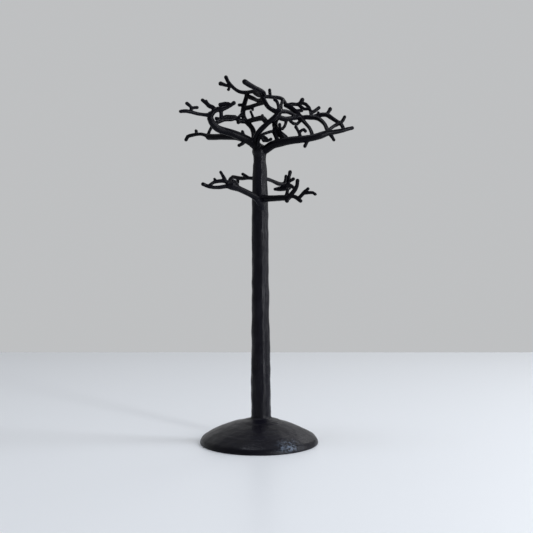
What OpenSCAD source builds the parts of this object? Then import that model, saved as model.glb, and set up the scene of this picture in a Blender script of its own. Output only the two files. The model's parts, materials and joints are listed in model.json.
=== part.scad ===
// Clay tree of life: a bare black tree on a domed foot, with a crown and a small lower tier.
// Millimetres. X is to the right, Y is away from the front, Z is up, and the foot stands on Z = 0.
// The tree is built as a potter builds it: rolled coils of clay, luted one onto the next.

/* [Foot] */
// Diameter of the domed foot
foot_d = 96; // [94:1:100]
// Height of the dome above the table
foot_h = 18.5; // [18:0.5:19]
// Roundness of the foot's outer edge
foot_edge = 6; // [5.5:0.5:6.5]
// Thickness of the foot's clay wall
wall = 5.5; // [5:0.5:5.5]
// Width of the smeared clay collar round the trunk's base
collar_d = 33.6; // [31:0.2:35]
// Thickness of the felt disc under the foot
felt_t = 2; // [1.5:0.5:2]

/* [Trunk] */
// How far the trunk's foot stands to the right of the dome's middle
trunk_x = 1.5; // [1.2:0.1:1.8]
// Lean of the trunk to the left, in degrees
lean = 0.25; // [0.2:0.05:0.3]
// Diameter of the trunk where it meets the foot
trunk_foot_d = 15.8; // [15.4:0.1:16.2]
// Diameter of the trunk just under the crown
trunk_top_d = 10; // [9.8:0.1:10.4]
// Height of the joint between the trunk and the crown knuckle
knuckle_z = 228; // [227:0.5:229]
// Widest diameter of the crown knuckle
knuckle_d = 11.8; // [11.4:0.1:12.2]

/* [Inner metalwork] */
// Diameter of the steel rod up the trunk
rod_d = 3; // [2.8:0.1:3.2]
// Diameter of the wire pegs in the limb roots
peg_d = 1.6; // [1.4:0.1:1.8]

/* [Rolled coils] */
// Spacing of the rings along a coil
ring_gap = 2.7; // [2.4:0.1:4]
// Number of flats round a coil
coil_sides = 8; // [6:1:9]
// Play left in the joints between pieces
joint_gap = 0.05; // [0.04:0.01:0.08]

/* [Show] */
// Piece to show

/* [Hidden] */
clay = [0.13, 0.13, 0.15];
steel = [0.62, 0.63, 0.65];
felt = [0.20, 0.19, 0.18];
$fn = 64;

foot_r = foot_d / 2;
edge_z = 0;
felt_r = foot_r - 7;
cavity_r = felt_r - 2;
cavity_top = foot_h - wall;
seat_z = foot_h - 2;
rod_foot = 6;
rod_top = knuckle_z + 8;
washer_r = 6;
washer_t = 1;
nut_flats = 5.5;
nut_t = 2.4;

// The dome is a ball's cap that meets the rounded edge without a corner.
edge_x = foot_r - foot_edge;
cap_z = ((foot_h - foot_edge) ^ 2 - edge_x ^ 2 - edge_z ^ 2) / (2 * (foot_h - foot_edge - edge_z));
cap_r = foot_h - cap_z;
edge_turn = atan2(edge_z - cap_z, edge_x);

// Trunk outline from the foot up: [share of the taper, height]. It thins slowly, then quickly at the top.
trunk_line = [[1, seat_z], [1, 24], [0.98, 36], [0.81, 75], [0.69, 108], [0.6, 125], [0.55, 150],
              [0.5, 184], [0.46, 197], [0.34, 209], [0.2, 218], [0.08, 225], [0, knuckle_z]];

// Routes. Each place on a route is [x, y, z, radius of the coil there].

// Crown, left side
left_limb_route = [[1, 0, 238, 4.4], [-4, -2, 242, 3.7], [-9, -3, 245, 3.1], [-15, -5, 247.5, 2.9],
    [-22, -8, 250, 2.7], [-28, -10, 251.5, 2.7], [-33, -13, 253, 2.7], [-36.5, -15, 256, 2.6],
    [-38.5, -17, 260, 2.4], [-38.5, -18, 263.5, 2]];
left_limb_spike = [[-12, -4, 246, 1.4], [-12.7, -4, 249.5, 1], [-13.4, -4, 251.8, 0.7]];
left_limb_stub = [[-11.5, -4, 244.5, 1.6], [-13.5, -5, 242, 1.2], [-16, -5, 240.6, 1]];
left_outer_route = [[-38, -18, 262.5, 2], [-42, -19, 262.5, 1.4], [-48, -21, 263, 1.3],
    [-52.5, -23, 264, 1.3], [-57, -25, 264.5, 1.2], [-61, -26, 264, 1.1]];
left_sprig_up = [[-53.5, -23, 264, 1.2], [-53, -23, 267.5, 1.1], [-54.5, -23.5, 269.3, 1.1], [-56.3, -24, 270.6, 1]];
left_sprig_side = [[-53, -23, 266.7, 1.1], [-51, -22.5, 267.6, 1.1], [-48.6, -22, 267.8, 1]];
left_inner_route = [[-38, -18, 262.5, 2.1], [-35.5, -17.5, 266, 1.9], [-32.5, -17, 267.5, 1.9],
    [-29.5, -16.5, 267.5, 1.7], [-26, -16, 269, 1.4], [-23, -16, 270.5, 1.3], [-20, -16, 272.5, 1.3]];
left_inner_drop = [[-30.5, -16.5, 268, 1.6], [-30, -16, 264, 1.3], [-30, -15, 261, 1.2]];
left_tips_route = [[-34.5, -17, 267, 1.7], [-37, -17, 269, 1.6], [-39.5, -17, 270, 1.5],
    [-41.2, -17.5, 271.7, 1.4], [-44.5, -18, 274.3, 1.2]];
left_tips_stub = [[-40.5, -17, 270.5, 1.3], [-42, -16.5, 274, 1]];
left_bar_route = [[-22.5, -16, 270.8, 1.2], [-24, -16, 272, 1.2], [-27, -16, 272.2, 1.2], [-30.6, -16, 271.3, 1.1]];
back_left_route = [[0.5, 1, 237.5, 3.2], [-4, 5, 242.5, 2.8], [-10, 9, 246.8, 2.6], [-16, 12.5, 249.7, 2.5],
    [-22, 16, 251, 2.4], [-31, 22, 252, 2.4], [-37.5, 27, 252.5, 2.5], [-43.5, 32, 253.5, 2.5]];
back_left_twig_route = [[-43.5, 32, 253.5, 1.9], [-47, 34, 255.5, 1.4], [-50, 36, 256.5, 1.3],
    [-54, 37, 256.5, 1.3], [-58, 38.5, 256, 1.3], [-62, 40, 255, 1.2], [-63.5, 40.5, 252.5, 1.1]];
back_left_twig_spur = [[-53.8, 37, 256.5, 1.2], [-54.2, 37.5, 258, 1], [-54.6, 37.5, 259.3, 0.9]];
back_left_upright_route = [[-44, 32, 254, 1.6], [-43, 33, 258, 1.2], [-41, 33, 262, 1.1]];

// Crown, middle
centre_route = [[0.5, 0.5, 239, 3.3], [-3.3, 2.2, 245.5, 2.5], [-4.3, 4.5, 251, 2.1], [-5.3, 6.5, 255.5, 1.9],
    [-7.5, 8, 259.2, 1.9], [-10.7, 10, 262.7, 2], [-13, 12, 267, 1.9], [-13.5, 13, 271.5, 1.9], [-12.5, 14, 277.5, 1.8],
    [-11, 14, 282.5, 1.7], [-10, 12.5, 286.5, 1.6]];
centre_stub = [[-12.5, 14, 277, 1.3], [-16.5, 14, 277, 1.1]];
side_branch_route = [[-10.7, 10, 262.5, 1.7], [-15.5, 9, 263, 2], [-17.5, 8, 263.5, 1.8], [-20, 7, 266, 1.4],
    [-23, 6, 266, 1.2], [-27, 5, 266, 1.2], [-30.5, 4, 264.5, 1.1]];
side_branch_heel = [[-15.5, 9, 263, 1.6], [-17.2, 8, 261.6, 1.5]];
side_branch_strut = [[-13.3, 12, 270.5, 1.2], [-16, 10, 267.2, 1.2], [-18, 8.3, 264.8, 1.2]];
side_twig_route = [[-19, 7.5, 265, 1.4], [-23, 6, 263.5, 1.3], [-28.5, 4, 263, 1.3], [-34.5, 2, 260.5, 1.2]];
side_twig_stub = [[-29, 4, 263, 1.1], [-35, 3, 263.8, 1]];
crossbar_route = [[-12.5, 14, 274.3, 1.8], [-8, 10, 274.2, 1.9], [-4.5, 6.5, 275, 1.4], [0, 1, 275.2, 1.1],
    [4.8, -5.5, 275, 1.2]];
crossbar_stub = [[-5.5, 8, 275, 1], [-5.5, 8.5, 272.2, 0.9]];
top_twig_route = [[2.2, -6, 281.5, 1.2], [-1.5, 1, 285.5, 1.3], [-6, 7, 286.7, 1.3], [-11, 12, 287, 1.4],
    [-16, 13, 287.8, 1.3], [-20, 13, 290, 1.3], [-23.5, 12, 293, 1.2], [-26, 12, 296, 1.2], [-27.5, 12, 299.5, 1.1]];
top_sprig_route = [[-24.5, 12, 293, 1.2], [-27.5, 12, 292.8, 1.1], [-31, 12, 294, 1.3], [-32, 12, 294.3, 1.5]];
top_sprig_spur = [[-24.2, 12, 293, 1.1], [-25.5, 12, 289.5, 0.9]];
finger_route = [[4, -6.5, 281, 1.7], [3.5, -9.5, 282.3, 1.6], [1, -13.5, 283.2, 1.6], [-2, -17, 283.9, 1.7],
    [-7, -21, 285.6, 1.8], [-10.9, -23.5, 287.7, 1.9]];
link_route = [[15.5, -9.5, 266.5, 2], [11.5, -9, 268, 1.7], [7.5, -7, 271, 1.6], [5, -6, 275, 1.6],
    [3, -6, 279, 1.6], [2, -6, 283, 1.7]];
link_brace_route = [[-9.5, 12.5, 284, 1.7], [-4.5, 8, 281, 1.5], [-1, 2, 278.3, 1.4], [3.5, -5, 277.5, 1.3]];
top_twig_prop = [[-4.8, 6.5, 286.3, 1.1], [-1.7, 1.5, 282.8, 1.3], [2.4, -5, 280.3, 1.2]];
arc_route = [[3, -6, 280, 1.2], [6.5, -4, 280.2, 1.2], [11.5, -1, 280.4, 1.2], [16, 2, 280.6, 1.2],
    [19.5, 4, 279.6, 1.2], [21, 5, 277.5, 1.2], [22, 6, 275, 1.2]];
arc_spike = [[9, -2.5, 281, 1.1], [8.5, -2, 286, 0.9]];
arc_upright_route = [[17, -8, 268, 1.3], [17.7, -6.5, 270, 1.1], [17.8, -3, 273.5, 1], [19.3, 3, 279, 1.1]];
head_hook_route = [[15.5, -9, 267, 1.2], [15.5, -9, 272, 1], [14.5, -10, 274.7, 1], [12.5, -10, 276.5, 0.9]];
front_limb_route = [[0.5, 0, 239, 3.2], [-2.5, -3, 243, 2.5], [-3, -4.5, 246.3, 2.1], [-1.3, -5.5, 249.5, 2],
    [1.3, -6.8, 252.8, 1.9], [4.2, -8, 255.4, 1.9], [7.5, -9, 258.5, 2], [10.5, -10, 260.5, 2], [14, -10, 263.8, 2], [16.5, -9, 267, 2.2]];
bridge_route = [[6.5, -8.5, 257.8, 1.9], [4.5, -6, 261, 1.9], [2.5, -3, 263, 1.9], [-1.7, 2, 263.3, 1.9],
    [-6, 6, 263, 1.9], [-9.8, 9.3, 262.7, 1.6]];
bridge_spike = [[-4.5, 4.5, 263.5, 1.3], [-5.8, 5, 267, 0.9], [-7, 5, 270, 0.7]];
bridge_bump = [[2.5, -3, 263.5, 1.2], [2.7, -3, 265, 0.9]];
thin_branch_route = [[0.5, -2.5, 238, 1.6], [-0.8, -6.5, 241.5, 1.2], [0, -8.8, 245, 1.1],
    [2.5, -9.5, 248.3, 1.1], [6.5, -9, 250.3, 1], [11.5, -5.5, 252, 1.1]];
curl_route = [[2.5, -9.6, 248.3, 1], [2.4, -10.5, 245.5, 1], [4, -12.5, 243, 1], [6.8, -14.5, 242.7, 1],
    [9.5, -15.5, 244, 0.9]];
curl_stub = [[2.9, -9.8, 247.6, 1], [6, -12, 244.9, 0.9]];

// Crown, right side
right_limb_route = [[0, 0.5, 235, 4], [6, -3.5, 238, 3.4], [11, -8, 240.7, 3.1], [17, -11, 242, 3.2],
    [22.5, -13, 243, 3.1], [29.5, -15, 243.5, 2.8], [36.5, -16, 244, 2.6], [43, -17, 245, 2.6],
    [48.5, -17, 246.5, 2.5], [53.5, -16, 248.5, 2.1], [57.5, -15, 249.3, 1.8], [61.5, -14, 250.2, 1.7],
    [66.5, -13, 251.2, 1.5], [70.5, -12, 252.5, 1.3], [74.5, -11, 253.6, 1.1]];
right_limb_spur = [[39, -16, 244, 1.5], [37.5, -16, 240.5, 1.1], [36.5, -16, 238.5, 1]];
right_limb_drop = [[56, -15, 249, 1.4], [58, -15, 246, 1.2], [59.5, -15, 243.5, 1]];
right_y_route = [[33, -15.5, 244.5, 1.4], [32.2, -16, 248.2, 1.1], [31.2, -16, 250.2, 1], [29.3, -16, 253.5, 0.9]];
right_y_arm = [[32, -16, 248.8, 1], [33.7, -16, 250.8, 0.9], [35.7, -16, 251.6, 0.9], [36.7, -16, 250.4, 0.9]];
inner_right_route = [[22.5, -12.5, 243, 2.8], [20, -9, 246.5, 2.5], [16, -5, 251, 2.4], [13.5, -2, 255.5, 2.3],
    [12.8, -1, 259.5, 2.2], [14.5, -4, 263.8, 2.1], [16.5, -8, 267.5, 2]];
inner_prop_route = [[13, -2.5, 256, 1.5], [12, -5, 252, 1.5], [13, -7.5, 248.7, 1.5], [15, -10, 243.5, 1.5]];
lower_bar_route = [[14.5, -9, 263, 1.8], [21, -5, 261.8, 1.7], [27, -1, 263.3, 1.7], [33.5, 3, 264.8, 1.7]];
upper_bar_route = [[16.5, -8.5, 267.5, 1.5], [22.5, -4, 268, 1.3], [26, -1, 267.2, 1.3], [31, 3, 265.5, 1.4]];
hanging_hook_route = [[22, -4.5, 261.5, 1.3], [21.5, -4.5, 258.5, 1], [20.5, -5, 256, 1], [18.8, -6, 253.7, 1],
    [17, -7, 254.2, 1], [16.6, -7.5, 257, 0.9]];
hanging_loop_route = [[25, -2.5, 262.5, 1.3], [25.6, -2, 260.5, 1.2], [28, -1.5, 258.8, 1.2], [31, 0, 258.8, 1.2],
    [33, 2, 261, 1.2], [33.5, 3, 264, 1.3]];
diagonal_route = [[21, 6, 276, 1.8], [25.5, 6, 273.5, 1.8], [29.5, 5, 270, 1.9], [33.5, 4, 265.5, 2],
    [36, 2, 262, 1.8]];
diagonal_knob = [[29, 5, 270, 1.6], [34.5, 5, 270.8, 1.5]];
crest_route = [[22.8, 6.2, 275.4, 1.2], [27, 7, 276.3, 1.3], [32, 8, 276.3, 1.3], [34, 8, 278, 1.2],
    [35.5, 8, 280, 1.5]];
right_arc_route = [[32, 8, 276.3, 1.3], [36, 8, 277.5, 1.2], [38.5, 8, 276.3, 1.2], [41, 7, 273.5, 1.2],
    [42.3, 6, 270, 1.2], [42.7, 3, 265, 1.3]];
right_arc_inner = [[32.5, 7.5, 276, 1.2], [34.5, 7.5, 274, 1.1], [37, 7, 272.3, 1.1], [41.3, 6.5, 272.5, 1.1]];
arc_twig_route = [[42.3, 5.5, 268.5, 1.3], [46, 7, 271, 1.3], [49, 8, 273.5, 1.2]];
reach_route = [[34, 3.8, 264.8, 1.4], [38.5, 3, 264.8, 1.6], [43, 2, 264.5, 1.6], [47, 0, 263.5, 1.6],
    [49.8, -3, 261.3, 1.5], [53, -8, 256.7, 1.4], [55, -14.8, 249.5, 1.4]];
strut_route = [[34.5, 1.5, 263, 1.4], [38.2, -5, 257.5, 1.2], [41, -11, 252.5, 1.2], [42.7, -16.5, 246, 1.3]];
far_right_route = [[43, 2, 264.5, 1.7], [49, 2, 266.3, 1.6], [54.5, 1, 266.5, 1.6], [57.8, -1, 264.2, 1.5],
    [60.8, -3, 261.7, 1.4], [63.5, -5, 259.5, 1.4], [65.5, -6, 258.5, 1.4]];
far_right_bump = [[48.5, 2, 266, 1.3], [48.3, 2, 268, 1]];
far_right_twig = [[55, 1, 266.3, 1.3], [56.5, 1.5, 268.8, 1.1], [58, 1.5, 271.2, 1]];
far_fork_up = [[65.5, -6, 258.3, 1.3], [67.5, -6, 260.5, 1.2], [69, -6, 263.4, 1]];
far_fork_down = [[65.3, -6, 258.7, 1.3], [66.8, -9, 255.5, 1.3], [68, -12, 251.8, 1.3]];
far_fork_back = [[65.5, -6, 258.5, 1.3], [61, -9, 256, 1.2], [57.5, -12, 253.3, 1.2], [55.5, -14.5, 250.5, 1.3]];

// Lower tier, left side
low_left_route = [[2.5, -4, 188, 2.2], [1.3, -5.8, 193, 2.5], [-2, -8.5, 197.3, 2.3], [-5.5, -12, 199.8, 2.1],
    [-10.3, -17, 201.8, 2.1], [-14.8, -21, 203.5, 2.2], [-18.5, -25, 204.8, 2.6], [-21.5, -27, 206, 3.2],
    [-23.5, -28, 205.8, 2.4]];
low_left_long_route = [[-23, -28, 205.5, 1.8], [-27, -29, 205, 1.3], [-31, -30, 204.2, 1.2],
    [-34.5, -31, 204, 1.2], [-38.5, -32, 204.7, 1.2], [-41, -32, 205.7, 1.1], [-43, -33, 206.5, 1]];
low_left_loop_route = [[-22, -27, 207, 1.7], [-26.3, -28, 209.2, 1.3], [-31, -29, 209.2, 1.2],
    [-34.8, -30, 208.3, 1.2], [-38.3, -31.5, 205.5, 1.2]];
low_left_spike = [[-26, -28, 208.5, 1.5], [-27.5, -28, 212.5, 1.1], [-29.7, -28, 216.2, 0.9]];
low_left_loop_tip = [[-33, -29.5, 209, 1], [-34.3, -30, 210.5, 0.8]];
low_left_claw_route = [[-21.7, -26.5, 207.5, 1.3], [-20, -26, 209.8, 1.1], [-18.3, -25, 209.3, 1],
    [-16.7, -24, 207, 0.9]];
low_back_left_route = [[0, 2, 214.5, 2], [-5, 5, 215.3, 1.5], [-10, 9, 215.8, 1.3], [-15, 14, 216, 1.4],
    [-20, 19, 217.3, 1.4], [-22.2, 22, 218, 1.4], [-24.5, 24, 216.5, 1.3], [-26, 26, 214.3, 1.2]];
low_back_left_spur = [[-9, 8, 215.8, 1.4], [-11.3, 9, 217.6, 1.2], [-13.5, 10, 219, 1.1]];
low_back_left_drop = [[-18, 17, 216.8, 1.2], [-18, 17, 213.5, 1]];

// Lower tier, right side
low_right_route = [[1.5, -2.5, 197.8, 2.6], [4, -6.5, 197.5, 2.5], [7.5, -10, 197.2, 2.2], [12.8, -15, 197, 2.1],
    [18.2, -20, 197, 2.1], [23, -24, 196.8, 2.1]];
low_right_bump = [[21.5, -23, 197, 1.7], [22, -24, 194.5, 1.4]];
low_right_stub = [[21.5, -22.5, 197.5, 1.4], [22.5, -23, 203, 1]];
low_right_upright_route = [[23, -24, 197, 1.8], [26, -25, 200, 1.5], [28.3, -26, 203, 1.5],
    [29.8, -27, 206, 1.4], [30.2, -28, 209.5, 1.4]];
low_right_fork_route = [[24.2, -24.5, 197.5, 1.5], [27, -25, 197.8, 1.2], [29.5, -26, 196.5, 1.2],
    [32.5, -27, 194, 1.1]];
low_right_fork_up = [[30.8, -26.5, 195.8, 1.2], [33, -27, 197.8, 1.1], [35.5, -28, 200.8, 1.1],
    [38.3, -29, 203.2, 1]];
low_right_fork_side = [[35, -28, 200, 1.1], [39, -29, 200.2, 1.1], [42, -30, 200, 1], [43.7, -31, 198.8, 1]];
low_back_right_route = [[1.5, 2, 214.5, 2], [6, 5, 214.4, 1.6], [9.8, 9, 213.8, 1.4], [13, 13, 212.9, 1.4],
    [16.5, 17, 211.8, 1.4], [20, 20, 212, 1.5]];
spray_leaf = [[12.5, 20, 207.6, 0.8], [15, 20.5, 207.8, 1.5], [18.5, 21, 208.2, 2.1], [22.4, 21, 208.7, 2.1],
    [24.8, 21, 208.8, 1.6]];
spray_spine = [[19.5, 20, 212.3, 1.5], [22, 20.7, 211.3, 1.7], [25, 21, 211.3, 1.4], [27.5, 21, 210, 1.2],
    [29, 21, 208.7, 1]];
spray_spike = [[23.5, 21, 211, 1.4], [24.6, 21, 214, 1.2], [25, 21, 218.5, 1.1], [25.8, 21, 222, 1.4]];
spray_spur = [[24.7, 21, 214, 1.1], [28.5, 21, 216.3, 0.9]];
spray_twig = [[21, 20, 212, 1.2], [22, 20, 215.5, 1], [22.3, 20, 218.5, 0.9]];

// Straight wire pegs in the limb roots, each from its inner end to its outer end.
left_peg = [[-1.5, -1, 240], [-9.5, -3.2, 245.2]];
back_left_peg = [[-1.9, 3.1, 239.8], [-8, 7.7, 245.3]];
centre_peg = [[-0.6, 1.3, 241.3], [-3.9, 3.4, 248]];
front_peg = [[0, -1.4, 240.4], [-2.8, -4.1, 245.6]];
right_peg = [[3.5, -1.8, 237.1], [11, -8, 240.5]];
low_left_peg = [[1.5, -3.5, 195], [-5.5, -12, 199.8]];
low_right_peg = [[1.7, -3.6, 198], [9.5, -12, 197.2]];

// ---------- rolled coils ----------

function place(p) = [p[0], p[1], p[2]];
function unit(v) = v / norm(v);

// A point part of the way along the smooth curve through a route, between places i and i + 1.
function along(route, i, t) =
    let (b = route[i])
    let (c = route[i + 1])
    let (a = i > 0 ? route[i - 1] : 2 * b - c)
    let (d = i + 2 < len(route) ? route[i + 2] : 2 * c - b)
    b + 0.5 * t * (c - a + t * (2 * a - 5 * b + 4 * c - d + t * (3 * (b - c) + d - a)));

// Evenly spaced stations along the whole route.
function stations(route) = [
    for (i = [0 : len(route) - 2])
        let (steps = max(1, round(norm(place(route[i + 1] - route[i])) / ring_gap)))
        for (k = [0 : steps - 1])
            along(route, i, k / steps),
    route[len(route) - 1]
];

// Two smaller rings that round off the tip.
function tip(last, way) = [
    for (step = [[0.55, 0.83], [0.93, 0.37]])
        [each place(last) + way * last[3] * step[0], last[3] * step[1]]
];

// Direction of travel at each station.
function headings(line) = [
    for (i = [0 : len(line) - 1])
        unit(place(line[min(i + 1, len(line) - 1)] - line[max(i - 1, 0)]))
];

// Carries a sideways vector from heading a to heading b without any twist.
function carry(side, a, b) =
    let (axis = cross(a, b))
    side + cross(axis, side) + cross(axis, cross(axis, side)) / (1 + a * b);

function sides_along(ways) = [
    for (i = 0, side = unit(cross(ways[0], abs(ways[0][2]) < 0.8 ? [0, 0, 1] : [1, 0, 0]));
         i < len(ways);
         side = i + 1 < len(ways) ? carry(side, ways[i], ways[i + 1]) : side, i = i + 1)
        side
];

module coil(route, grow = 0) {
    body = stations(route);
    end = body[len(body) - 1];
    line = concat(body, tip(end, unit(place(end - body[len(body) - 2]))));
    ways = headings(line);
    sides = sides_along(ways);
    n = coil_sides;
    rings = len(line);
    points = [
        for (j = [0 : rings - 1])
            for (k = [0 : n - 1])
                let (turn = 360 * k / n)
                place(line[j]) + (line[j][3] + grow) * (cos(turn) * sides[j]
                    + sin(turn) * cross(ways[j], sides[j]))
    ];
    walls = [
        for (j = [0 : rings - 2])
            for (k = [0 : n - 1])
                let (next = (k + 1) % n)
                each [
                    [j * n + k, (j + 1) * n + k, (j + 1) * n + next],
                    [j * n + k, (j + 1) * n + next, j * n + next]
                ]
    ];
    root = [for (k = [0 : n - 1]) k];
    cap = [for (k = [n - 1 : -1 : 0]) (rings - 1) * n + k];
    polyhedron(points, concat(walls, [root, cap]));
}

// One piece of rolled clay: its coils joined into one mesh by a resize that changes no size,
// and cut back where the piece is luted onto its neighbours.
module luted(coils, onto = []) {
    color(clay)
    resize([0, 0, 0])
    difference() {
        union() {
            for (route = coils)
                coil(route);
        }
        for (route = onto)
            coil(route, joint_gap);
        children();
    }
}

// ---------- foot ----------

// Stands its children on the trunk's leaning axis. Heights are measured from the table.
module upright() {
    translate([trunk_x, 0, seat_z])
        rotate([0, -lean, 0])
            translate([0, 0, -seat_z])
                children();
}

// The dome's outline grown or shrunk by a margin, from the middle out to the edge.
module dome_outline(margin = 0) {
    polygon([
        [0, foot_h + margin],
        for (a = [90 : -3 : edge_turn])
            [(cap_r + margin) * cos(a), cap_z + (cap_r + margin) * sin(a)],
        for (a = [edge_turn : -8 : 0])
            [edge_x + (foot_edge + margin) * cos(a), edge_z + (foot_edge + margin) * sin(a)],
        [foot_r - 1.6, 0],
        [0, 0]
    ]);
}

module foot_dome() {
    color(clay)
    difference() {
        rotate_extrude()
            dome_outline();
        intersection() {
            translate([0, 0, cap_z])
                sphere(r = cap_r - wall);
            cylinder(h = foot_h, r = cavity_r);
        }
        translate([0, 0, -1])
            cylinder(h = 1 + felt_t, r = felt_r + joint_gap);
        upright() {
            cylinder(h = cavity_top, r = washer_r + 0.3);
            cylinder(h = foot_h + 1, r = rod_d / 2 + joint_gap);
            translate([0, 0, seat_z])
                cylinder(h = foot_h, r = trunk_foot_d / 2 + joint_gap);
        }
    }
}

module felt_pad() {
    color(felt)
    cylinder(h = felt_t, r = felt_r);
}

// A thin skirt of clay smeared from the trunk onto the dome, with a faint step at its rim.
module foot_collar() {
    inner = trunk_foot_d / 2;
    outer = collar_d / 2;
    color(clay)
    difference() {
        upright()
            rotate_extrude()
                polygon([
                    [inner - 1, foot_h - 4], [inner - 1, foot_h + 2.2], [inner, foot_h + 2.2],
                    [inner + 0.7, foot_h + 1.1], [inner + 2.4, foot_h + 0.5], [inner + 5, foot_h - 0.1],
                    [outer - 0.8, foot_h - 0.8], [outer, foot_h - 1.4], [outer, foot_h - 4]
                ]);
        rotate_extrude()
            dome_outline(joint_gap);
        upright()
            cylinder(h = 40, r = inner + joint_gap);
    }
}

// ---------- trunk ----------

function trunk_r(share) = (trunk_top_d + share * (trunk_foot_d - trunk_top_d)) / 2;

module trunk_blank(grow = 0) {
    upright()
        rotate_extrude()
            polygon([
                [0, seat_z],
                for (p = trunk_line)
                    [trunk_r(p[0]) + grow, p[1]],
                [0, knuckle_z]
            ]);
}

module knuckle_blank(grow = 0) {
    r = knuckle_d / 2;
    upright()
        rotate_extrude()
            polygon([
                [0, knuckle_z],
                [trunk_top_d / 2 + grow, knuckle_z],
                [trunk_top_d / 2 - 0.2 + grow, knuckle_z + 3],
                [trunk_top_d / 2 + 0.1 + grow, knuckle_z + 5.5],
                for (a = [-15 : 10 : 80])
                    [(r + grow) * cos(a), knuckle_z + 8.5 + (r + grow) * sin(a)],
                [0, knuckle_z + 8.5 + r + grow]
            ]);
}

module trunk() {
    color(clay)
    difference() {
        trunk_blank();
        upright()
            cylinder(h = knuckle_z + 1, r = rod_d / 2 + joint_gap);
        for (ends = [low_left_peg, low_right_peg])
            peg(ends, joint_gap);
    }
}

module crown_knuckle() {
    color(clay)
    difference() {
        knuckle_blank();
        upright()
            cylinder(h = rod_top + joint_gap, r = rod_d / 2 + joint_gap);
        for (ends = [left_peg, back_left_peg, centre_peg, front_peg, right_peg])
            peg(ends, joint_gap);
    }
}

// ---------- inner metalwork ----------

module core_rod() {
    color(steel)
    upright()
        translate([0, 0, rod_foot])
            cylinder(h = rod_top - rod_foot, r = rod_d / 2);
}

module rod_washer() {
    color(steel)
    upright()
        translate([0, 0, cavity_top - washer_t])
            difference() {
                cylinder(h = washer_t, r = washer_r);
                translate([0, 0, -1])
                    cylinder(h = washer_t + 2, r = rod_d / 2 + joint_gap);
            }
}

module rod_nut() {
    color(steel)
    upright()
        translate([0, 0, cavity_top - washer_t - nut_t])
            difference() {
                cylinder(h = nut_t, r = nut_flats / sqrt(3), $fn = 6);
                translate([0, 0, -1])
                    cylinder(h = nut_t + 2, r = rod_d / 2 + joint_gap);
            }
}

module peg(ends, grow = 0) {
    way = unit(ends[1] - ends[0]);
    translate(ends[0] - way * grow)
        rotate([0, acos(way[2]), atan2(way[1], way[0])])
            cylinder(h = norm(ends[1] - ends[0]) + 2 * grow, r = peg_d / 2 + grow);
}

module crown_pegs() {
    color(steel)
    for (ends = [left_peg, back_left_peg, centre_peg, front_peg, right_peg])
        peg(ends);
}

module lower_pegs() {
    color(steel)
    for (ends = [low_left_peg, low_right_peg])
        peg(ends);
}

// A limb luted onto the trunk or the knuckle, with the socket for its peg.
module limb(coils, ends, onto = []) {
    color(clay)
    difference() {
        luted(coils, onto) {
            trunk_blank(joint_gap);
            knuckle_blank(joint_gap);
            for (pin = [left_peg, back_left_peg, centre_peg, front_peg])
                if (pin != ends)
                    peg(pin, joint_gap);
        }
        peg(ends, joint_gap);
    }
}

// ---------- crown, left side ----------

module left_limb() limb([left_limb_route, left_limb_spike, left_limb_stub], left_peg);
module left_outer_twig() luted([left_outer_route, left_sprig_up, left_sprig_side], [left_limb_route]);
module left_inner_fork() luted([left_inner_route, left_inner_drop], [left_limb_route, left_outer_route]);
module left_fork_tips() luted([left_tips_route, left_tips_stub], [left_inner_route]);
module left_fork_bar() luted([left_bar_route], [left_inner_route]);
module back_left_limb() limb([back_left_route], back_left_peg, [left_limb_route]);
module back_left_twig() luted([back_left_twig_route, back_left_twig_spur], [back_left_route]);
module back_left_upright() luted([back_left_upright_route], [back_left_route, back_left_twig_route]);

// ---------- crown, middle ----------

module centre_limb() limb([centre_route, centre_stub], centre_peg, [left_limb_route, back_left_route]);
module side_branch() luted([side_branch_route, side_branch_heel, side_branch_strut], [centre_route]);
module side_twig() luted([side_twig_route, side_twig_stub], [side_branch_route, side_branch_heel]);
module crossbar() luted([crossbar_route, crossbar_stub], [centre_route, link_route]);
module link_limb() luted([link_route], [front_limb_route, inner_right_route]);
module top_twig() luted([top_twig_route, top_twig_prop], [link_route, centre_route, arc_route]);
module top_sprig() luted([top_sprig_route, top_sprig_spur], [top_twig_route]);
module front_finger() luted([finger_route], [link_route, top_twig_route, top_twig_prop, arc_route]);
module link_brace() luted([link_brace_route], [link_route, centre_route, top_twig_route, top_twig_prop]);
module upper_arc() luted([arc_route, arc_spike], [link_route, diagonal_route, crest_route]);
module arc_upright() luted([arc_upright_route], [arc_route, front_limb_route, inner_right_route,
                                                upper_bar_route]);
module head_hook() luted([head_hook_route], [front_limb_route, inner_right_route, link_route]);
module front_limb() limb([front_limb_route], front_peg, [left_limb_route, centre_route]);
module bridge_limb() luted([bridge_route, bridge_spike, bridge_bump], [front_limb_route, centre_route,
                                                                     side_branch_route]);
module thin_branch() luted([thin_branch_route], [front_limb_route, left_limb_route, right_limb_route,
                                                 inner_right_route, inner_prop_route])
    knuckle_blank(joint_gap);
module front_curl() luted([curl_route, curl_stub], [thin_branch_route]);

// ---------- crown, right side ----------

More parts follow.
